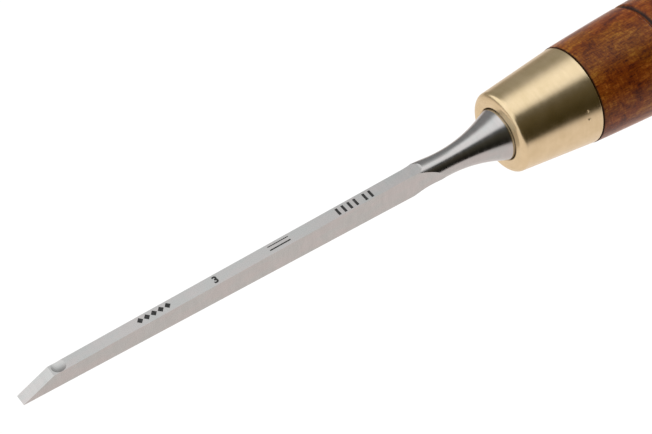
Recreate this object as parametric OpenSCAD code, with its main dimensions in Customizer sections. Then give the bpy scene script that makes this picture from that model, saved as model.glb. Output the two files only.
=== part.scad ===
// Narrow bevel-edge chisel: a forged steel blade with its neck, bolster and tang,
// a tapered brass ferrule, and a turned hardwood handle.
// Millimetres. The origin is the middle of the cutting edge, on the plane of the flat back.
// +X runs from the cutting edge to the handle, and +Z leaves the blade on its bevelled side.

/* [Blade] */
// Width at the cutting edge
edge_w = 3; // [2.5:0.1:3.4]
// Width where the side flats run out into the neck
root_w = 3.1; // [3:0.1:3.4]
// Height of the blade at the heel of the bevel
heel_h = 4.37; // [4:0.01:5]
// Height of the blade where the top face runs out into the neck
root_h = 7.43; // [7.2:0.01:7.5]
// Angle of the bevel
bevel_angle = 28; // [25:1:32]
// Angle of the fine honed bevel at the cutting edge
hone_angle = 36; // [34:1:40]
// Length of the fine honed bevel
hone_len = 0.5; // [0.3:0.05:0.8]
// Length of the shallow scoop that the grinding wheel left behind the heel
scoop_len = 3.4; // [2:0.1:4]
// Depth of that scoop
scoop_depth = 0.15; // [0.1:0.05:0.4]

/* [Neck and bolster] */
// Height of the handle's axis above the plane of the back
axis_h = 3.87; // [3.8:0.01:3.9]
// Distance from the cutting edge to the thinnest place of the neck
waist_x = 114.3; // [114:0.1:115]
// Radius of the neck at its thinnest place
neck_r = 3.1; // [3:0.01:3.2]
// Radius of the hollow curve from the thinnest place to the bolster
flare_r = 37.5; // [36:0.5:40]
// Radius of the hollow curve from the thinnest place to the blade
lead_r = 40; // [36:1:44]
// Radius of the bolster
bolster_r = 6.55; // [6.4:0.05:6.6]
// Width of the bolster's straight rim
bolster_rim = 2.5; // [2:0.1:3]

/* [Tang] */
// Length of the tang behind the bolster
tang_len = 58; // [45:1:65]
// Thickness of the square tang at the bolster
tang_w = 6; // [5.5:0.1:6.5]
// Thickness of the square tang at its end
tang_end_w = 3; // [2.5:0.1:3.5]
// Gap between the tang and the wood
tang_gap = 0.05; // [0.02:0.01:0.1]

/* [Ferrule] */
// Distance from the cutting edge to the ferrule's front
ferrule_x = 130.5; // [130.4:0.1:130.8]
// Length of the ferrule
ferrule_len = 22; // [21.5:0.1:22.5]
// Outer radius just behind the rolled lip
ferrule_front_r = 10.35; // [10.2:0.05:10.5]
// Outer radius at the back
ferrule_back_r = 12.49; // [12.4:0.01:12.5]
// Radius of the mouth round the bolster
mouth_r = 6.65; // [6.6:0.05:6.8]
// Thickness of the brass
ferrule_wall = 1; // [0.8:0.05:1.2]
// Depth of the two punch marks that keep the ferrule from turning
punch_depth = 0.25; // [0.15:0.05:0.3]

/* [Handle] */
// Length of the whole tool
tool_len = 262; // [258:1:266]
// Radius of the wood where it meets the ferrule
grip_front_r = 12.6; // [12.55:0.05:12.8]
// Radius of the swelling in front of the hand
swell_r = 14.1; // [14:0.05:14.5]
// Radius of the waist under the fingers
waist_r = 13.1; // [13:0.05:13.5]
// Radius of the bulb in the palm
bulb_r = 15.2; // [15:0.1:15.5]
// Width of each turned groove
groove_w = 2; // [1:0.1:2.5]
// Depth of each turned groove
groove_depth = 0.8; // [0.3:0.05:1]

/* [Hidden] */

steel = "silver";
brass = "khaki";
wood = "sienna";
tiny = 0.01;
reach = 20;
round_fn = 128;
arc_steps = 16;

// Blade
hone_x = hone_len * cos(hone_angle);
hone_z = hone_len * sin(hone_angle);
heel_x = hone_x + (heel_h - hone_z) / tan(bevel_angle);
flat_run_x = 105.6;
top_run_x = 107.3;
side_run_r = 12;
side_run_tilt = 34;
top_run_r = 2.5;
flare_angle = atan((root_w - edge_w) / 2 / flat_run_x);
top_slope = atan((root_h - heel_h) / (top_run_x - heel_x));
scoop_x = heel_x + scoop_len / 2 + 0.1;
scoop_r = (pow(scoop_len / 2, 2) + pow(scoop_depth, 2)) / (2 * scoop_depth);
scoop_top = heel_h + (scoop_x - heel_x) * tan(top_slope);

// Bolster and tang
flare_x = waist_x + sqrt(pow(flare_r, 2) - pow(flare_r - (bolster_r - neck_r), 2));
bolster_back = flare_x + bolster_rim;

// Ferrule
ferrule_back = ferrule_x + ferrule_len;
lip_len = 1.6;
lip_inner_r = 0.5;
lip_corner_r = mouth_r + lip_inner_r + 1.2;
lip_corner_x = ferrule_x + 0.12;
ferrule_taper = (ferrule_back_r - ferrule_front_r) / (ferrule_len - lip_len);
cup_x = bolster_back;
cup_r = ferrule_front_r + ferrule_taper * (cup_x - ferrule_x - lip_len) - ferrule_wall;
punch_x = ferrule_back - 3.85;
punch_angles = [19, 29];
punch_r = 0.4;
punch_surface = ferrule_back_r - ferrule_taper * (ferrule_back - punch_x);

// Handle
swell_x = 190;
grip_waist_x = 220;
bulb_x = 247;
groove_places = [174.2, 241];
grip_steps = 14;
butt_power = 2.4;
shoulder_r = 0.2;

// A smooth change from a to b as u goes from 0 to 1, level at both ends.
function ease(a, b, u) = a + (b - a) * (1 - cos(180 * u)) / 2;

// The radius of the wood before its grooves are cut: it rises from the ferrule to the swelling,
// falls to the waist, rises to the bulb and closes in a flattened dome.
function grip_radius(x) =
    x < swell_x ? grip_front_r
        + (swell_r - grip_front_r) * sin(90 * (x - ferrule_back) / (swell_x - ferrule_back))
    : x < grip_waist_x ? ease(swell_r, waist_r, (x - swell_x) / (grip_waist_x - swell_x))
    : x < bulb_x ? ease(waist_r, bulb_r, (x - grip_waist_x) / (bulb_x - grip_waist_x))
    : bulb_r * pow(max(0, 1 - pow((x - bulb_x) / (tool_len - bulb_x), butt_power)), 1 / butt_power);

// Places along a stretch, close together at its far end when bias is above 1.
function places(from, to, steps, bias = 1) =
    [for (i = [1 : steps]) from + (to - from) * (1 - pow(1 - i / steps, bias))];

// A turned solid about the handle's axis, from a flat shape of [radius, x].
module turned_solid() {
    translate([0, 0, axis_h])
        rotate([0, 90, 0])
            rotate_extrude($fn = round_fn)
                children();
}

// The same, from an outline of [radius, x] points.
module turned(outline) {
    turned_solid() polygon(outline);
}

// The forged and turned blank, before the flats of the blade are ground. Two round tools of
// different radius meet at the thinnest place of the neck.
module blank() {
    blank_r = 5.4;
    turned_solid() {
        difference() {
            translate([0, -1]) square([bolster_r, bolster_back + 1]);
            translate([blank_r, -2]) square([reach, waist_x + 2]);
            intersection() {
                translate([neck_r + lead_r, waist_x]) circle(lead_r, $fn = round_fn);
                translate([0, -1]) square([reach, waist_x + 1]);
            }
            intersection() {
                translate([neck_r + flare_r, waist_x]) circle(flare_r, $fn = round_fn);
                translate([0, waist_x]) square([bolster_r, flare_x - waist_x]);
            }
        }
    }
}

// A square tang that tapers evenly on all four faces.
module tang(gap = 0) {
    front = tang_w / 2 + gap;
    back = tang_end_w / 2 + gap;
    outline = [[-tiny, -front], [tang_len + gap, -back], [tang_len + gap, back], [-tiny, front]];
    translate([bolster_back, 0, axis_h])
        intersection() {
            linear_extrude(reach, center = true) polygon(outline);
            rotate([90, 0, 0]) linear_extrude(reach, center = true) polygon(outline);
        }
}

// What a grinding wheel takes: all above a flat that ends at x = 0 in the wheel's own curve.
module wheel_cut(wheel_r, height) {
    linear_extrude(height, center = true) {
        translate([-flat_run_x - reach, 0]) square([flat_run_x + reach, reach]);
        translate([0, wheel_r]) circle(wheel_r, $fn = round_fn);
    }
}

module side_grind() {
    translate([0, edge_w / 2, 0])
        rotate([0, 0, flare_angle])
            translate([flat_run_x, 0, axis_h])
                rotate([0, -side_run_tilt, 0])
                    wheel_cut(side_run_r, 120);
}

module top_grind() {
    translate([top_run_x, 0, root_h])
        rotate([90, -top_slope, 0])
            wheel_cut(top_run_r, reach);
}

// Everything above the bevel, and above the fine honed bevel at the edge.
module bevel_grind() {
    far = 2 * heel_x;
    rotate([90, 0, 0])
        linear_extrude(reach, center = true)
            polygon([[-reach, -reach], [0, -reach], [0, 0], [hone_x, hone_z],
                [far, hone_z + (far - hone_x) * tan(bevel_angle)], [-reach, reach]]);
}

module blade() {
    color(steel) {
        difference() {
            blank();
            translate([-reach, -reach, -2 * reach]) cube([waist_x + reach, 2 * reach, 2 * reach]);
            top_grind();
            side_grind();
            mirror([0, 1, 0]) side_grind();
            bevel_grind();
            translate([scoop_x, 0, scoop_top + scoop_r - scoop_depth]) sphere(scoop_r, $fn = 64);
        }
        tang();
    }
}

// A cone of sheet brass with its front edge rolled in to the mouth.
module ferrule() {
    lip = [for (i = [0 : arc_steps])
        let (a = 90 * i / arc_steps)
        [lip_corner_r + (ferrule_front_r - lip_corner_r) * sin(a),
            lip_corner_x + (ferrule_x + lip_len - lip_corner_x) * (1 - cos(a))]];
    lip_inside = [for (i = [0 : arc_steps])
        let (a = 90 * i / arc_steps)
        [mouth_r + lip_inner_r * (1 - sin(a)), ferrule_x + lip_inner_r * (1 - cos(a))]];
    color(brass)
        difference() {
            turned(concat(
                [for (i = [len(lip_inside) - 1 : -1 : 0]) lip_inside[i]],
                lip,
                [[ferrule_back_r, ferrule_back], [ferrule_back_r - ferrule_wall, ferrule_back],
                    [cup_r, cup_x], [mouth_r, cup_x]]
            ));
            for (angle = punch_angles)
                translate([punch_x, 0, axis_h])
                    rotate([-angle, 0, 0])
                        translate([0, -punch_surface - punch_r + punch_depth, 0])
                            sphere(punch_r, $fn = 24);
        }
}

// How far a groove cuts into the wood at a place along the handle.
function groove_cut(x, place) =
    let (u = (x - place) / (groove_w / 2))
    abs(u) < 1 ? groove_depth * (1 - u * u) : 0;

module handle() {
    stops = concat(
        places(ferrule_back + shoulder_r, groove_places[0] - groove_w, grip_steps),
        places(groove_places[0] - groove_w, groove_places[0] + groove_w, grip_steps),
        places(groove_places[0] + groove_w, groove_places[1] - groove_w, 3 * grip_steps),
        places(groove_places[1] - groove_w, groove_places[1] + groove_w, grip_steps),
        places(groove_places[1] + groove_w, bulb_x, grip_steps / 2),
        places(bulb_x, tool_len, 2 * grip_steps, 2)
    );
    spigot_back_r = ferrule_back_r - ferrule_wall;
    color(wood)
        difference() {
            turned(concat(
                [[0, bolster_back], [cup_r, bolster_back], [spigot_back_r, ferrule_back],
                    [grip_front_r - shoulder_r, ferrule_back],
                    [grip_radius(ferrule_back + shoulder_r), ferrule_back + shoulder_r]],
                [for (x = stops)
                    [grip_radius(x) - groove_cut(x, groove_places[0])
                        - groove_cut(x, groove_places[1]), x]]
            ));
            tang(tang_gap);
        }
}

blade();
ferrule();
handle();
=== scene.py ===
from math import atan, cos, pi, radians, sin, sqrt, tan

import bmesh
import bpy
from mathutils import Matrix, Vector


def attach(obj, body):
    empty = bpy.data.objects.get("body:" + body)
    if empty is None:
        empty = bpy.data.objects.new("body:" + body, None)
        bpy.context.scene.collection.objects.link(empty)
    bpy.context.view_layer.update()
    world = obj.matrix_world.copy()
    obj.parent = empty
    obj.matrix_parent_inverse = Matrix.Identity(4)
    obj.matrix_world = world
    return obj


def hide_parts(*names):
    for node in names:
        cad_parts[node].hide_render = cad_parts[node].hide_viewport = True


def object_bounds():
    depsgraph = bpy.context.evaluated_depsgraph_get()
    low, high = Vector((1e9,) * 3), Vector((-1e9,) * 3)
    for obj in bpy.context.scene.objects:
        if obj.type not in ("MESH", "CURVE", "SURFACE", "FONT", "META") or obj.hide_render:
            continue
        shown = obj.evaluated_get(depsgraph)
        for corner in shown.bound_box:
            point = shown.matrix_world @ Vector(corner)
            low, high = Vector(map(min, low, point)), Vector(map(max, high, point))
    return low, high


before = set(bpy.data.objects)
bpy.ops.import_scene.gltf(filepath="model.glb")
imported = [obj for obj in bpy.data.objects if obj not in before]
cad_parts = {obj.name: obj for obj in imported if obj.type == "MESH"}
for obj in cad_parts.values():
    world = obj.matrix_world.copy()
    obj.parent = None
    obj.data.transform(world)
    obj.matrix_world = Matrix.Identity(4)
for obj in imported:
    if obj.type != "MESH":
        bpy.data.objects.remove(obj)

cad_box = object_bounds()
MM = 0.001
scene = bpy.context.scene
scene.view_settings.view_transform = "Standard"


# --- Camera -----------------------------------------------------------------------------------
# A long lens looks down on the blade's near side from in front of the edge, rolled a little, so
# that the tool lies from corner to corner and only the front of the handle is in view.
camera_data = bpy.data.cameras.new("camera")
camera_data.sensor_width = 36
camera_data.lens = 136.28
camera_data.clip_start = 0.01
camera_data.clip_end = 20
camera = bpy.data.objects.new("camera", camera_data)
camera.location = Vector((-128.18, -305.88, 428.41)) * MM
camera.rotation_euler = (radians(41.326), radians(0.527), radians(-34.977))
scene.collection.objects.link(camera)
scene.camera = camera


# --- Studio -----------------------------------------------------------------------------------
# A white sweep under the tool, one wide softbox overhead, a white card beyond the edge, and an
# unlit room behind the camera. The dark room is what draws the long dark bands on round metal.
softbox_light = 1.36
card_light = 1.2
sweep_light = 0.98
sweep_far_light = 0.42
sweep_tint = (1.0, 0.925, 0.89)
sweep_lit_to = -0.03
sweep_dark_from = -0.3
room_dark = (0.013, 0.0115, 0.008)
room_dim = (0.056, 0.049, 0.034)


def add_node(tree, kind, inputs, **settings):
    """Adds a shader node. inputs maps a socket's name or number to a value or another socket."""
    node = tree.nodes.new("ShaderNode" + kind)
    for name, value in settings.items():
        setattr(node, name, value)
    for name, value in inputs.items():
        if isinstance(value, bpy.types.NodeSocket):
            tree.links.new(value, node.inputs[name])
        else:
            node.inputs[name].default_value = value
    return node


def set_ramp(ramp, stops):
    """Gives a colour ramp its stops: pairs of place and grey level or colour."""
    elements = ramp.color_ramp.elements
    while len(elements) < len(stops):
        elements.new(0.5)
    for element, (place, value) in zip(elements, stops):
        colour = (value, value, value) if isinstance(value, float) else value
        element.position = place
        element.color = (*colour, 1)


def light_the_room():
    world = bpy.data.worlds.new("studio")
    world.use_nodes = True
    scene.world = world
    tree = world.node_tree
    tree.nodes.clear()
    way = add_node(tree, "TexCoord", {})
    axes = add_node(tree, "SeparateXYZ", {0: way.outputs["Generated"]})
    near = add_node(tree, "Math", {0: axes.outputs["Y"], 1: -1.0}, operation="MULTIPLY")
    around = add_node(tree, "Math", {0: axes.outputs["Z"], 1: near.outputs[0]}, operation="ARCTAN2")
    turn = add_node(tree, "Math", {0: around.outputs[0], 1: pi}, operation="DIVIDE")
    arch = add_node(tree, "ValToRGB", {0: turn.outputs[0]})
    set_ramp(arch, [
        (0.0, room_dark),
        (20 / 180, room_dark),
        (50 / 180, room_dim),
        (71 / 180, 0.09),
        (81 / 180, 0.82),
        (88 / 180, 0.97),
        (118 / 180, 1.0),
        (128 / 180, 0.78),
        (138 / 180, 0.38),
        (150 / 180, 0.26),
        (1.0, 0.25),
    ])
    rear = add_node(tree, "ValToRGB", {0: turn.outputs[0]})
    set_ramp(rear, [
        (0.0, room_dark),
        (20 / 180, room_dark),
        (50 / 180, room_dim),
        (71 / 180, 0.09),
        (81 / 180, 0.82),
        (88 / 180, 0.97),
        (108 / 180, 1.0),
        (117 / 180, 0.7),
        (125 / 180, 0.46),
        (138 / 180, 0.33),
        (150 / 180, 0.26),
        (1.0, 0.25),
    ])
    backward = add_node(tree, "MapRange", {
        "Value": axes.outputs["X"], "From Min": 0.3, "From Max": 0.42,
        "To Min": 0.0, "To Max": 1.0}, interpolation_type="SMOOTHSTEP")
    arch = add_node(tree, "MixRGB", {
        0: backward.outputs[0], 1: arch.outputs["Color"], 2: rear.outputs["Color"]})
    front = add_node(tree, "ValToRGB", {0: turn.outputs[0]})
    set_ramp(front, [
        (0.0, room_dark),
        (50 / 180, room_dim),
        (69 / 180, 0.095),
        (78 / 180, 0.9),
        (84 / 180, 1.0),
    ])
    ahead = add_node(tree, "MapRange", {
        "Value": axes.outputs["X"], "From Min": -0.2, "From Max": -0.42,
        "To Min": 0.0, "To Max": 1.0}, interpolation_type="SMOOTHSTEP")
    room = add_node(tree, "MixRGB", {
        0: ahead.outputs[0], 1: arch.outputs["Color"], 2: front.outputs["Color"]})
    beyond = add_node(tree, "MapRange", {
        "Value": axes.outputs["X"], "From Min": -0.88, "From Max": -1.0,
        "To Min": 0.0, "To Max": 1.0}, interpolation_type="SMOOTHSTEP")
    card = (card_light / softbox_light,) * 3
    lit = add_node(tree, "MixRGB", {0: beyond.outputs[0], 1: room.outputs["Color"], 2: (*card, 1)})
    light = add_node(tree, "Background", {"Color": lit.outputs["Color"],
                                          "Strength": softbox_light})
    paper = add_node(tree, "Background", {"Color": (1, 1, 1, 1), "Strength": 1.05})
    path = add_node(tree, "LightPath", {})
    both = add_node(tree, "MixShader", {
        0: path.outputs["Is Camera Ray"], 1: light.outputs[0], 2: paper.outputs[0]})
    add_node(tree, "OutputWorld", {"Surface": both.outputs[0]})


def lay_the_sweep():
    size = 3.0
    sweep = bpy.data.meshes.new("sweep")
    bm = bmesh.new()
    bmesh.ops.create_grid(bm, x_segments=1, y_segments=1, size=size)
    bmesh.ops.translate(bm, verts=bm.verts, vec=(0.13, 0, cad_box[0][2]))
    bm.to_mesh(sweep)
    bm.free()
    floor = bpy.data.objects.new("sweep", sweep)
    scene.collection.objects.link(floor)

    paper = bpy.data.materials.new("sweep paper")
    paper.use_nodes = True
    tree = paper.node_tree
    tree.nodes.clear()
    coords = add_node(tree, "TexCoord", {})
    axes = add_node(tree, "SeparateXYZ", {0: coords.outputs["Object"]})
    lit = add_node(tree, "MapRange", {
        "Value": axes.outputs["Y"], "From Min": sweep_dark_from, "From Max": sweep_lit_to,
        "To Min": sweep_far_light, "To Max": sweep_light}, interpolation_type="SMOOTHSTEP")
    behind = add_node(tree, "MapRange", {
        "Value": axes.outputs["Y"], "From Min": 0.02, "From Max": 0.12,
        "To Min": 1.0, "To Max": 0.35}, interpolation_type="SMOOTHSTEP")
    shaded = add_node(tree, "Math", {0: lit.outputs[0], 1: behind.outputs[0]}, operation="MULTIPLY")
    glow = add_node(tree, "Emission", {"Color": (*sweep_tint, 1), "Strength": shaded.outputs[0]})
    white = add_node(tree, "Emission", {"Color": (1, 1, 1, 1), "Strength": 1.05})
    path = add_node(tree, "LightPath", {})
    both = add_node(tree, "MixShader", {
        0: path.outputs["Is Camera Ray"], 1: glow.outputs[0], 2: white.outputs[0]})
    add_node(tree, "OutputMaterial", {"Surface": both.outputs[0]})
    sweep.materials.append(paper)


light_the_room()
lay_the_sweep()


# --- Blade ------------------------------------------------------------------------------------
# One forging of tool steel: turned round from the bolster to the blade's root, then ground flat
# on its back, top and two sides, bevelled, and honed. The square tang behind it is left rough.
# All lengths are in millimetres until the finished mesh is scaled to metres.
axis_height = 3.87
edge_width = 3.0
root_width = 3.1
heel_height = 4.37
root_height = 7.43
bevel_angle = radians(28)
hone_angle = radians(36)
hone_length = 0.5
waist_place = 114.3
waist_radius = 3.1
lead_radius = 40.0
flare_radius = 37.5
bolster_radius = 6.55
bolster_rim = 2.5
side_grind_end = 105.6
top_grind_end = 107.3
side_wheel = 12.0
side_wheel_tilt = radians(34)
top_wheel = 2.5
scoop_length = 3.4
scoop_depth = 0.15
scoop_gap = 0.1
scoop_across = 0.25
tang_length = 58.0
tang_front = 6.0
tang_back = 3.0
flare_place = waist_place + sqrt(flare_radius**2 - (flare_radius - bolster_radius + waist_radius) ** 2)
bolster_back = flare_place + bolster_rim
heel_place = hone_length * cos(hone_angle)
heel_place += (heel_height - hone_length * sin(hone_angle)) / tan(bevel_angle)
top_slope = (root_height - heel_height) / (top_grind_end - heel_place)


def top_at(place):
    """The height of the blade's top face at a place along it."""
    return heel_height + top_slope * (place - heel_place)


def turned(outline, steps):
    """Spins an outline of (place, radius) round the handle's axis into a closed solid."""
    bm = bmesh.new()
    points = [bm.verts.new((place, 0, radius)) for place, radius in outline]
    lines = [bm.edges.new(pair) for pair in zip(points, points[1:])]
    bmesh.ops.spin(bm, geom=points + lines, cent=(0, 0, 0), axis=(1, 0, 0), angle=2 * pi,
                   steps=steps, use_merge=True)
    bmesh.ops.remove_doubles(bm, verts=bm.verts, dist=1e-5)
    bmesh.ops.translate(bm, verts=bm.verts, vec=(0, 0, axis_height))
    bmesh.ops.recalc_face_normals(bm, faces=bm.faces)
    return bm


def block(lowest, highest):
    """A box between two corners."""
    bm = bmesh.new()
    bmesh.ops.create_cube(bm, size=1)
    low = Vector(lowest)
    high = Vector(highest)
    bmesh.ops.scale(bm, verts=bm.verts, vec=high - low)
    bmesh.ops.translate(bm, verts=bm.verts, vec=(low + high) / 2)
    return bm


def wheel(radius, width, segments=240):
    """A grinding wheel that touches the origin from above, its axle along Z, its rim facing -Y."""
    bm = bmesh.new()
    bmesh.ops.create_cone(bm, cap_ends=True, segments=segments, radius1=radius, radius2=radius,
                          depth=width)
    lowest = min(bm.verts, key=lambda v: v.co.y).co
    turn = Matrix.Rotation(-Vector((0, -1)).angle_signed(lowest.xy), 3, "Z")
    bmesh.ops.rotate(bm, verts=bm.verts, cent=(0, 0, 0), matrix=turn)
    bmesh.ops.translate(bm, verts=bm.verts, vec=(0, radius, 0))
    return bm


def place_solid(bm, matrix):
    bmesh.ops.transform(bm, matrix=matrix, verts=bm.verts)
    bmesh.ops.recalc_face_normals(bm, faces=bm.faces)
    return bm


def new_piece(name, bm):
    mesh = bpy.data.meshes.new(name)
    bm.to_mesh(mesh)
    bm.free()
    piece = bpy.data.objects.new(name, mesh)
    scene.collection.objects.link(piece)
    return piece


def carve(piece, bm, how="DIFFERENCE"):
    """Cuts a solid from a piece, or joins it on, for good."""
    tool = new_piece("tool", bm)
    step = piece.modifiers.new("carve", "BOOLEAN")
    step.operation = how
    step.solver = "EXACT"
    step.object = tool
    shaped = piece.evaluated_get(bpy.context.evaluated_depsgraph_get())
    mesh = bpy.data.meshes.new_from_object(shaped)
    piece.modifiers.clear()
    old = piece.data
    piece.data = mesh
    bpy.data.meshes.remove(old)
    bpy.data.objects.remove(tool)


def finish_mesh(piece, sharp=radians(6)):
    """Scales a piece from millimetres to metres and shades it smooth between its sharp edges."""
    mesh = piece.data
    mesh.transform(Matrix.Scale(MM, 4))
    mesh.shade_smooth()
    mesh.set_sharp_from_angle(angle=sharp)
    mesh.update()


def neck_arc(start, end, radius, steps):
    for i in range(steps + 1):
        place = start + (end - start) * i / steps
        yield place, waist_radius + radius - sqrt(radius**2 - (place - waist_place) ** 2)


def forge_the_blade():
    blank_radius = 5.4
    blank_end = waist_place - sqrt(lead_radius**2 - (lead_radius - blank_radius + waist_radius) ** 2)
    rim = 0.25
    outline = [(-1, 0), (-1, blank_radius)]
    outline += neck_arc(blank_end, waist_place, lead_radius, 24)
    outline += list(neck_arc(waist_place, flare_place, flare_radius, 40))[1:]
    outline += [(bolster_back - rim, bolster_radius), (bolster_back, bolster_radius - rim)]
    outline += [(bolster_back, 0)]
    blade = new_piece("blade_forging", turned(outline, 160))

    reach = 20
    carve(blade, block((-reach, -reach, -reach), (waist_place, reach, 0)))

    on_top = Matrix.Translation((top_grind_end, 0, root_height))
    on_top = on_top @ Matrix.Rotation(-atan(top_slope), 4, "Y")
    lying = Matrix.Rotation(radians(90), 4, "X")
    carve(blade, place_solid(block((-130, -reach, 0), (0, reach, reach)), on_top))
    carve(blade, place_solid(wheel(top_wheel, reach, 96), on_top @ lying))

    splay = (root_width - edge_width) / 2 / side_grind_end
    for side in (1, -1):
        flip = Matrix.Scale(side, 4, (0, 1, 0))
        flat = Matrix.Translation((0, edge_width / 2, 0)) @ Matrix.Rotation(splay, 4, "Z")
        run_out = flat @ Matrix.Translation((side_grind_end, 0, axis_height))
        run_out = flip @ run_out @ Matrix.Rotation(-side_wheel_tilt, 4, "Y")
        carve(blade, place_solid(block((-130, 0, -70), (0, reach, 70)), run_out))
        carve(blade, place_solid(wheel(side_wheel, 60), run_out))

    hone_end = (hone_length * cos(hone_angle), 0, hone_length * sin(hone_angle))
    bevel = Matrix.Translation(hone_end) @ Matrix.Rotation(-bevel_angle, 4, "Y")
    carve(blade, place_solid(block((-reach, -reach, 0), (2 * heel_place, reach, reach)), bevel))
    hone = Matrix.Rotation(-hone_angle, 4, "Y")
    carve(blade, place_solid(block((-1, -reach, 0), (2 * hone_length, reach, reach)), hone))
    carve(blade, block((-reach, -reach, -reach), (0, reach, reach)))

    scoop_place = heel_place + scoop_length / 2 + scoop_gap
    scoop_radius = ((scoop_length / 2) ** 2 + scoop_depth**2) / (2 * scoop_depth)
    scoop_top = top_at(scoop_place) + scoop_radius - scoop_depth
    scoop = bmesh.new()
    bmesh.ops.create_uvsphere(scoop, u_segments=160, v_segments=96, radius=scoop_radius)
    carve(blade, place_solid(scoop, Matrix.Translation((scoop_place, scoop_across, scoop_top))))

    tang = bmesh.new()
    bmesh.ops.create_cone(tang, cap_ends=True, segments=4, depth=tang_length + 1,
                          radius1=tang_front / sqrt(2), radius2=tang_back / sqrt(2))
    turn = Matrix.Rotation(radians(90), 4, "Y") @ Matrix.Rotation(radians(45), 4, "Z")
    middle = bolster_back + (tang_length - 1) / 2
    carve(blade, place_solid(tang, Matrix.Translation((middle, 0, axis_height)) @ turn), "UNION")
    finish_mesh(blade)
    return blade


def ground_steel():
    """Bright steel with the fine cross lines of a grinding belt and faint cloudy patches."""
    steel = bpy.data.materials.new("ground steel")
    steel.use_nodes = True
    tree = steel.node_tree
    shader = tree.nodes["Principled BSDF"]
    coords = add_node(tree, "TexCoord", {})
    place = coords.outputs["Object"]
    across = add_node(tree, "Mapping", {"Vector": place, "Scale": (7000, 170, 170)})
    lines = add_node(tree, "TexNoise", {
        "Vector": across.outputs[0], "Scale": 1.0, "Detail": 5.0, "Roughness": 0.65})
    wide = add_node(tree, "Mapping", {"Vector": place, "Scale": (900, 300, 300)})
    clouds = add_node(tree, "TexNoise", {
        "Vector": wide.outputs[0], "Scale": 1.0, "Detail": 3.0, "Roughness": 0.5})
    blend = add_node(tree, "MixRGB", {0: 0.5, 1: lines.outputs["Fac"], 2: clouds.outputs["Fac"]})
    tone = add_node(tree, "ValToRGB", {0: blend.outputs["Color"]})
    set_ramp(tone, [(0.35, (0.455, 0.455, 0.450)), (0.65, (0.505, 0.500, 0.495))])
    patches = add_node(tree, "Mapping", {"Vector": place, "Scale": (160, 420, 420)})
    patches = add_node(tree, "TexNoise", {
        "Vector": patches.outputs[0], "Scale": 1.0, "Detail": 3.0, "Roughness": 0.6})
    tint = add_node(tree, "ValToRGB", {0: patches.outputs["Fac"]})
    set_ramp(tint, [(0.40, (0.95, 0.965, 0.96)), (0.60, (1.0, 0.965, 0.96))])
    tone = add_node(tree, "MixRGB", {0: 1.0, 1: tone.outputs["Color"], 2: tint.outputs["Color"]},
                    blend_type="MULTIPLY")
    gloss = add_node(tree, "MapRange", {
        "Value": clouds.outputs["Fac"], "From Min": 0.3, "From Max": 0.7,
        "To Min": 0.15, "To Max": 0.22})
    relief = add_node(tree, "Bump", {
        "Strength": 0.2, "Distance": 0.000012, "Height": lines.outputs["Fac"]})
    tree.links.new(tone.outputs["Color"], shader.inputs["Base Color"])
    tree.links.new(gloss.outputs[0], shader.inputs["Roughness"])
    tree.links.new(relief.outputs[0], shader.inputs["Normal"])
    shader.inputs["Metallic"].default_value = 1.0
    return steel


blade = forge_the_blade()
blade.data.materials.clear()
blade.data.materials.append(ground_steel())
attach(blade, "root")
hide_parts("blade")


# --- Printing on the blade --------------------------------------------------------------------
# Black printing on the top face, a few hundredths of a millimetre thick: a row of lozenges, the
# size 3 for the 3 mm edge, two fine lines, and six bars in two groups.
print_depth = 0.02
lozenge_count = 5
lozenge_place = 31.2
lozenge_spacing = 1.8
lozenge_across = 0.2
lozenge_shape = (0.78, 0.85, 1)
line_place = 68.3
line_length = 5.6
lines_across = ((0.75, 0.22), (-0.35, 0.34))
bar_groups = ((84.4, 4), (91.9, 2))
bar_spacing = 1.65
bar_across = -0.1
bar_width = 0.65
bar_height = 2.1
figure_place = 50.95
figure_foot = -0.85
figure_size = 2.6
figure_weight = 0.1


def print_the_marks():
    """Stamps every mark flat at its place, then leans them all on the blade's sloping top face."""
    marks = bmesh.new()

    def stamp(bm, place, across):
        flat = bpy.data.meshes.new("stamp")
        bmesh.ops.translate(bm, verts=bm.verts, vec=(place, across, 0))
        bm.to_mesh(flat)
        bm.free()
        marks.from_mesh(flat)
        bpy.data.meshes.remove(flat)

    def bar(place, across, length, width):
        stamp(block((-length / 2, -width / 2, -print_depth), (length / 2, width / 2, print_depth)),
              place, across)

    for i in range(lozenge_count):
        lozenge = bmesh.new()
        bmesh.ops.create_cone(lozenge, cap_ends=True, segments=4, depth=2 * print_depth,
                              radius1=1, radius2=1)
        bmesh.ops.scale(lozenge, verts=lozenge.verts, vec=lozenge_shape)
        stamp(lozenge, lozenge_place + lozenge_spacing * i, lozenge_across)
    for across, width in lines_across:
        bar(line_place, across, line_length, width)
    for place, count in bar_groups:
        for i in range(count):
            bar(place + bar_spacing * i, bar_across, bar_width, bar_height)

    figure = bpy.data.curves.new("size figure", "FONT")
    figure.body = "3"
    figure.size = figure_size
    figure.offset = figure_weight
    figure.align_x = "CENTER"
    figure.extrude = print_depth
    letter = bpy.data.objects.new("size figure", figure)
    scene.collection.objects.link(letter)
    shape = letter.evaluated_get(bpy.context.evaluated_depsgraph_get())
    three = bmesh.new()
    three.from_mesh(shape.to_mesh())
    bpy.data.objects.remove(letter)
    bmesh.ops.remove_doubles(three, verts=three.verts, dist=1e-5)
    bmesh.ops.recalc_face_normals(three, faces=three.faces)
    stamp(three, figure_place, figure_foot)

    lean = Matrix.Translation((0, 0, top_at(0))) @ Matrix.Rotation(-atan(top_slope), 4, "Y")
    bmesh.ops.transform(marks, matrix=lean, verts=marks.verts)
    printing = new_piece("blade_print", marks)
    finish_mesh(printing)
    return printing


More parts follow.
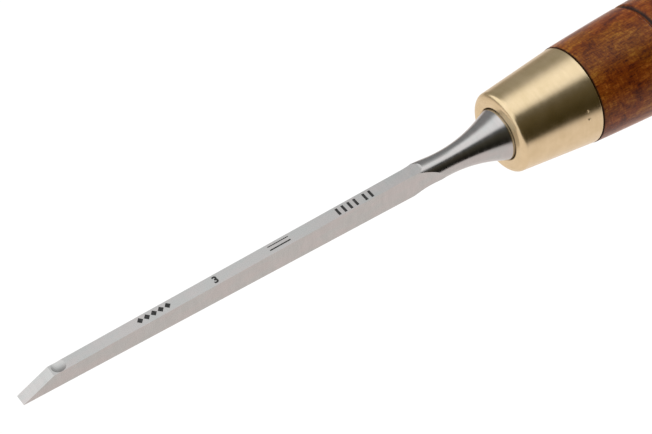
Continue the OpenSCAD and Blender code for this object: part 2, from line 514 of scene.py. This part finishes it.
def black_ink():
    """Etched black printing, a little worn through by the grinding lines under it."""
    ink = bpy.data.materials.new("black ink")
    ink.use_nodes = True
    tree = ink.node_tree
    shader = tree.nodes["Principled BSDF"]
    coords = add_node(tree, "TexCoord", {})
    across = add_node(tree, "Mapping", {"Vector": coords.outputs["Object"],
                                        "Scale": (6000, 900, 900)})
    wear = add_node(tree, "TexNoise", {"Vector": across.outputs[0], "Scale": 1.0, "Detail": 3.0})
    tone = add_node(tree, "ValToRGB", {0: wear.outputs["Fac"]})
    set_ramp(tone, [(0.45, (0.012, 0.012, 0.012)), (0.75, (0.06, 0.06, 0.058))])
    tree.links.new(tone.outputs["Color"], shader.inputs["Base Color"])
    shader.inputs["Roughness"].default_value = 0.6
    return ink


printing = print_the_marks()
printing.data.materials.append(black_ink())
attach(printing, "root")


# --- Ferrule ----------------------------------------------------------------------------------
# A taper of sheet brass, pressed, with its front edge rolled in to a mouth round the bolster. Two
# punch marks near its back keep it from turning on the wood. The outside is turned satin.
ferrule_front = 130.5
ferrule_back = 152.5
lip_length = 1.6
lip_radius = 10.35
back_radius = 12.49
mouth_radius = 6.65
mouth_roll = 0.5
lip_flat = 1.2
lip_flat_slope = 0.12
brass_wall = 1.0
punch_place = 148.65
punch_angles = (19, 29)
punch_radius = 0.4
punch_depth = 0.25


def quarter(from_place, from_radius, to_place, to_radius, steps, starts_upright):
    """Points on a quarter of an ellipse between two points of an outline."""
    for i in range(1, steps + 1):
        a = pi / 2 * i / steps
        fast, slow = sin(a), 1 - cos(a)
        along, out = (slow, fast) if starts_upright else (fast, slow)
        yield (from_place + (to_place - from_place) * along,
               from_radius + (to_radius - from_radius) * out)


def press_the_ferrule():
    edge_roll = 0.3
    crest = mouth_radius + mouth_roll
    corner = crest + lip_flat
    corner_front = ferrule_front + lip_flat_slope
    slope = (back_radius - lip_radius) / (ferrule_back - ferrule_front - lip_length)
    cup_radius = lip_radius + slope * (bolster_back - ferrule_front - lip_length) - brass_wall
    outline = [(bolster_back, mouth_radius), (ferrule_front + mouth_roll, mouth_radius)]
    outline += quarter(ferrule_front + mouth_roll, mouth_radius, ferrule_front, crest, 8, False)
    outline.append((corner_front, corner))
    outline += quarter(corner_front, corner, ferrule_front + lip_length, lip_radius, 16, True)
    steps = 12
    for i in range(1, steps + 1):
        place = ferrule_front + lip_length
        place += (ferrule_back - edge_roll - place) * i / steps
        outline.append((place, lip_radius + slope * (place - ferrule_front - lip_length)))
    outline += quarter(ferrule_back - edge_roll, outline[-1][1], ferrule_back,
                       back_radius - edge_roll, 5, False)
    outline += [(ferrule_back, back_radius - brass_wall), (bolster_back, cup_radius)]
    outline.append(outline[0])
    ferrule = new_piece("brass_ferrule", turned(outline, 192))
    surface = back_radius - slope * (ferrule_back - punch_place)
    for angle in punch_angles:
        punch = bmesh.new()
        bmesh.ops.create_uvsphere(punch, u_segments=24, v_segments=16, radius=punch_radius)
        out = surface + punch_radius - punch_depth
        where = (punch_place, -out * cos(radians(angle)), axis_height + out * sin(radians(angle)))
        carve(ferrule, place_solid(punch, Matrix.Translation(where)))
    finish_mesh(ferrule)
    return ferrule


def satin_brass():
    """Brass with the fine rings of a turning tool, worn a little brighter in patches."""
    brass = bpy.data.materials.new("satin brass")
    brass.use_nodes = True
    tree = brass.node_tree
    shader = tree.nodes["Principled BSDF"]
    coords = add_node(tree, "TexCoord", {})
    place = coords.outputs["Object"]
    around = add_node(tree, "Mapping", {"Vector": place, "Scale": (9000, 90, 90)})
    rings = add_node(tree, "TexNoise", {
        "Vector": around.outputs[0], "Scale": 1.0, "Detail": 4.0, "Roughness": 0.6})
    clouds = add_node(tree, "TexNoise", {
        "Vector": place, "Scale": 260.0, "Detail": 4.0, "Roughness": 0.55})
    blend = add_node(tree, "MixRGB", {0: 0.6, 1: rings.outputs["Fac"], 2: clouds.outputs["Fac"]})
    tone = add_node(tree, "ValToRGB", {0: blend.outputs["Color"]})
    set_ramp(tone, [(0.35, (0.64, 0.51, 0.32)), (0.65, (0.74, 0.60, 0.40))])
    gloss = add_node(tree, "MapRange", {
        "Value": clouds.outputs["Fac"], "From Min": 0.3, "From Max": 0.7,
        "To Min": 0.19, "To Max": 0.25})
    relief = add_node(tree, "Bump", {
        "Strength": 0.3, "Distance": 0.000012, "Height": rings.outputs["Fac"]})
    tree.links.new(tone.outputs["Color"], shader.inputs["Base Color"])
    tree.links.new(gloss.outputs[0], shader.inputs["Roughness"])
    tree.links.new(relief.outputs[0], shader.inputs["Normal"])
    shader.inputs["Metallic"].default_value = 1.0
    shader.inputs["Sheen Weight"].default_value = 0.12
    shader.inputs["Sheen Roughness"].default_value = 1.0
    shader.inputs["Sheen Tint"].default_value = (1, 0.62, 0.05, 1)
    return brass


ferrule = press_the_ferrule()
ferrule.data.materials.clear()
ferrule.data.materials.append(satin_brass())
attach(ferrule, "root")
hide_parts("ferrule")


# --- Handle -----------------------------------------------------------------------------------
# Hornbeam, turned between centres: a spigot inside the ferrule, a grip with two cut grooves, and a
# domed butt. It is stained red-brown and waxed, and the tang is driven into a square hole.
handle_end = cad_box[1][0] / MM - 0.001
grip_front = 12.6
swell_place = 190.0
swell_radius = 14.1
grip_waist_place = 220.0
grip_waist_radius = 13.1
bulb_place = 247.0
bulb_radius = 15.185
butt_power = 2.4
groove_places = (174.2, 241.0)
groove_width = 2.0
groove_depth = 0.8
joint_gap = 0.18
# Painted shade: the wood's colour is darkened in a narrow band at its face against the ferrule,
# standing in for the shadow in the joint.
joint_shade_place = ferrule_back + 0.05
joint_shade_reach = 0.38
# Painted shade in the grooves: the colour is darkened in a band set a little towards the butt from
# each groove's middle, where its wall lies in shadow.
groove_shade_shift = 0.45
groove_shade_reach = 0.5


def ease(a, b, u):
    return a + (b - a) * (1 - cos(pi * u)) / 2


def grip_radius(place):
    """The wood's radius, from the ferrule over the swelling and the waist to the domed butt."""
    if place < swell_place:
        u = (place - ferrule_back) / (swell_place - ferrule_back)
        radius = grip_front + (swell_radius - grip_front) * sin(pi / 2 * u)
    elif place < grip_waist_place:
        u = (place - swell_place) / (grip_waist_place - swell_place)
        radius = ease(swell_radius, grip_waist_radius, u)
    elif place < bulb_place:
        u = (place - grip_waist_place) / (bulb_place - grip_waist_place)
        radius = ease(grip_waist_radius, bulb_radius, u)
    else:
        u = (place - bulb_place) / (handle_end - bulb_place)
        radius = bulb_radius * max(0, 1 - u**butt_power) ** (1 / butt_power)
    for groove in groove_places:
        u = (place - groove) / (groove_width / 2)
        if abs(u) < 1:
            radius -= groove_depth * (1 - u * u)
    return radius


def turn_the_handle():
    spigot_front = bolster_back
    slope = (back_radius - lip_radius) / (ferrule_back - ferrule_front - lip_length)
    spigot_back_radius = back_radius - brass_wall
    spigot_radius = spigot_back_radius - slope * (ferrule_back - spigot_front)
    face = ferrule_back + joint_gap
    shoulder = 0.15
    outline = [(spigot_front, 0), (spigot_front, spigot_radius), (face, spigot_back_radius)]
    outline.append((face, grip_front - shoulder))
    outline += quarter(face, grip_front - shoulder, face + shoulder,
                       grip_radius(face + shoulder), 6, True)
    stops = [face + shoulder]
    for groove in groove_places:
        start, end = groove - groove_width / 2, groove + groove_width / 2
        stops += [stops[-1] + (start - stops[-1]) * i / 24 for i in range(1, 25)]
        stops += [start + (end - start) * i / 12 for i in range(1, 13)]
    stops += [stops[-1] + (bulb_place - stops[-1]) * i / 6 for i in range(1, 7)]
    stops += [bulb_place + (handle_end - bulb_place) * sin(pi / 2 * i / 28) for i in range(1, 29)]
    outline += [(place, grip_radius(place)) for place in stops[1:]]
    handle = new_piece("turned_handle", turned(outline, 192))

    hole = bmesh.new()
    gap = 0.05
    bmesh.ops.create_cone(hole, cap_ends=True, segments=4, depth=tang_length + gap + 1,
                          radius1=(tang_front / 2 + gap) * sqrt(2),
                          radius2=(tang_back / 2 + gap) * sqrt(2))
    turn = Matrix.Rotation(radians(90), 4, "Y") @ Matrix.Rotation(radians(45), 4, "Z")
    middle = bolster_back + (tang_length + gap - 1) / 2
    carve(handle, place_solid(hole, Matrix.Translation((middle, 0, axis_height)) @ turn))
    finish_mesh(handle)
    return handle


def stained_hornbeam():
    """Red-brown stained close grain: broad clouds, streaks, cross ripple and short dark flecks.
    Painted shade darkens it along the joint and in the grooves."""
    wood = bpy.data.materials.new("stained hornbeam")
    wood.use_nodes = True
    tree = wood.node_tree
    shader = tree.nodes["Principled BSDF"]
    coords = add_node(tree, "TexCoord", {})
    place = coords.outputs["Object"]

    def grain(length, width, detail, roughness=0.55, shift=0.0, distortion=0.0):
        """Noise drawn out along the handle, its marks this long and wide in millimetres."""
        scale = (1000 / length, 1000 / width, 1000 / width)
        drawn = add_node(tree, "Mapping", {"Vector": place, "Scale": scale,
                                           "Location": (shift, shift, shift)})
        noise = add_node(tree, "TexNoise", {"Vector": drawn.outputs[0], "Scale": 1.0,
                                            "Detail": detail, "Roughness": roughness,
                                            "Distortion": distortion})
        return noise.outputs["Fac"]

    clouds = grain(7, 4.5, 5, 0.6, 3.0, 0.8)
    streaks = grain(9, 1.1, 4, 0.6, 7.0, 0.5)
    fibres = grain(1.5, 0.3, 2, 0.6, 11.0, 0.9)
    ripple = grain(0.45, 1.4, 2, 0.55, 13.0, 0.6)
    broad = add_node(tree, "MixRGB", {0: 0.38, 1: clouds, 2: streaks})
    close = add_node(tree, "MixRGB", {0: 0.4, 1: fibres, 2: ripple})
    mixed = add_node(tree, "MixRGB", {0: 0.45, 1: broad.outputs["Color"], 2: close.outputs["Color"]})
    tone = add_node(tree, "ValToRGB", {0: mixed.outputs["Color"]})
    set_ramp(tone, [
        (0.38, (0.055, 0.008, 0.001)),
        (0.44, (0.145, 0.026, 0.002)),
        (0.51, (0.270, 0.066, 0.003)),
        (0.60, (0.470, 0.170, 0.020)),
    ])
    flecks = grain(1.1, 0.18, 2, 0.5, 17.0, 0.6)
    dark = add_node(tree, "MapRange", {"Value": flecks, "From Min": 0.34, "From Max": 0.44,
                                       "To Min": 0.6, "To Max": 1.0})
    speckled = add_node(tree, "MixRGB", {0: 1.0, 1: tone.outputs["Color"], 2: dark.outputs[0]},
                        blend_type="MULTIPLY")
    gloss = add_node(tree, "MapRange", {"Value": streaks, "From Min": 0.3, "From Max": 0.7,
                                        "To Min": 0.42, "To Max": 0.30})
    relief = add_node(tree, "Bump", {
        "Strength": 0.45, "Distance": 0.00004, "Height": close.outputs["Color"]})
    along = add_node(tree, "SeparateXYZ", {0: place})
    hue = add_node(tree, "ValToRGB", {0: grain(11, 7, 2, 0.5, 23.0, 0.5)})
    set_ramp(hue, [(0.38, (1.0, 0.86, 0.95)), (0.6, (1.0, 1.1, 1.0))])
    stain_and_shade = add_node(tree, "MixRGB", {0: 1.0, 1: speckled.outputs["Color"], 2: hue.outputs["Color"]},
                     blend_type="MULTIPLY")
    # Painted shade: the red-brown stain colour is multiplied down to 0.12 in a narrow band at the
    # joint and in each groove.
    lines = [(joint_shade_place, joint_shade_reach)]
    lines += [(groove + groove_shade_shift, groove_shade_reach) for groove in groove_places]
    for middle, fade in lines:
        away = add_node(tree, "Math", {0: along.outputs["X"], 1: middle * MM}, operation="SUBTRACT")
        away = add_node(tree, "Math", {0: away.outputs[0]}, operation="ABSOLUTE")
        # clear is the painted-shade mask: 0.12 at the band's middle, rising to 1 at its edge.
        clear = add_node(tree, "MapRange", {"Value": away.outputs[0], "From Min": 0.3 * fade * MM,
                                            "From Max": fade * MM, "To Min": 0.12, "To Max": 1.0})
        stain_and_shade = add_node(tree, "MixRGB", {0: 1.0, 1: stain_and_shade.outputs["Color"], 2: clear.outputs[0]},
                         blend_type="MULTIPLY")
    tree.links.new(stain_and_shade.outputs["Color"], shader.inputs["Base Color"])
    tree.links.new(gloss.outputs[0], shader.inputs["Roughness"])
    tree.links.new(relief.outputs[0], shader.inputs["Normal"])
    shader.inputs["IOR"].default_value = 1.29
    shader.inputs["Sheen Weight"].default_value = 1.0
    shader.inputs["Sheen Roughness"].default_value = 0.24
    shader.inputs["Sheen Tint"].default_value = (1, 0.8, 0.72, 1)
    return wood


handle = turn_the_handle()
handle.data.materials.clear()
handle.data.materials.append(stained_hornbeam())
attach(handle, "root")
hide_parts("handle")
